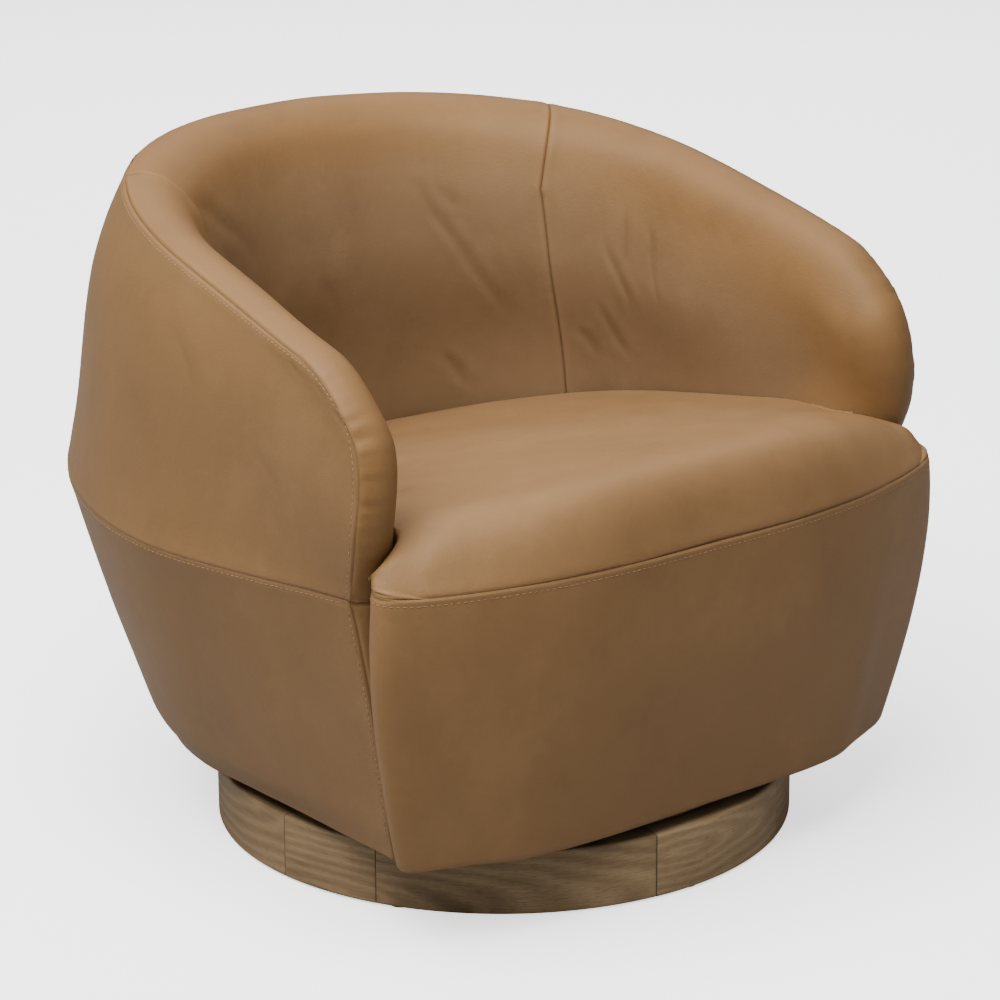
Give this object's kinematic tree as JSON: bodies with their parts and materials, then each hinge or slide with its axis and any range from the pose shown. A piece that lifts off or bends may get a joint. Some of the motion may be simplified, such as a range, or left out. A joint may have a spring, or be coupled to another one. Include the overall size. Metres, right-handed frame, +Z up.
{
  "type": "swivel armchair",
  "caption": "Leather tub chair with a wrap-round back that turns without limit on a low round plinth of wooden staves.",
  "frame": {"origin": "on the swivel axis at floor level, under the middle of the plinth", "axes": "+Z up along the swivel axis; -Y is the way the seat faces; +X is to the sitter's left, the right-hand side seen from the front"},
  "size_m": [0.7994, 0.8112, 0.686],
  "materials": {
    "plinth_wood": "oiled, matt",
    "timber": "raw plywood and pine",
    "felt": "felt",
    "steel": "zinc plated",
    "zinc_hardware": "zinc plated",
    "bearing_steel": "polished",
    "cage_plastic": "moulded",
    "black_cloth": "non-woven",
    "foam": "open cell foam",
    "leather": "semi-matt, fine grain"
  },
  "bodies": {
    "base": {"plinth_staves": "plinth_wood", "plinth_board": "timber", "plinth_blocks": "timber", "plinth_glides": "felt", "swivel_base_plate": "steel", "base_plate_screws": "zinc_hardware", "pivot_bolt": "zinc_hardware", "pivot_washer": "zinc_hardware", "pivot_nut": "zinc_hardware"},
    "bearing_cage": {"ball_cage": "cage_plastic", "bearing_balls": "bearing_steel"},
    "seat_body": {"swivel_top_plate": "steel", "pivot_bushing": "cage_plastic", "top_plate_bolts": "zinc_hardware", "tee_nuts": "zinc_hardware", "base_deck": "timber", "cross_rails": "timber", "deck_screws": "zinc_hardware", "lower_ribs": "timber", "front_posts": "timber", "seat_posts": "timber", "waist_rail": "timber", "upper_ribs": "timber", "top_rail": "timber", "arm_board_left": "timber", "arm_board_right": "timber", "front_rail": "timber", "back_rail": "timber", "side_rails": "timber", "seat_springs": "zinc_hardware", "spring_clips": "zinc_hardware", "spring_cloth": "black_cloth", "seat_foam": "foam", "front_board": "timber", "front_foam": "foam", "back_foam": "foam", "arm_foam_left": "foam", "arm_foam_right": "foam", "arm_front_foam_left": "foam", "arm_front_foam_right": "foam", "seat_cover": "leather", "front_cover": "leather", "inner_back_cover": "leather", "inner_cover_left": "leather", "inner_cover_right": "leather", "side_facing_left": "leather", "side_facing_right": "leather", "upper_cover_back": "leather", "upper_cover_left": "leather", "upper_cover_right": "leather", "lower_cover_back": "leather", "lower_cover_left": "leather", "lower_cover_right": "leather", "dust_cover": "black_cloth"}
  },
  "joints": [
    {"name": "seat_swivel", "type": "hinge", "parent": "base", "child": "seat_body", "pos_m": [0, 0, 0.077], "axis": [0, 0, 1], "continuous": true},
    {"name": "cage_spin", "type": "hinge", "parent": "base", "child": "bearing_cage", "pos_m": [0, 0, 0.077], "axis": [0, 0, 1], "continuous": true}
  ],
  "couplings": [
    {"joint": "cage_spin", "follows": "seat_swivel", "ratio": 0.5}
  ]
}
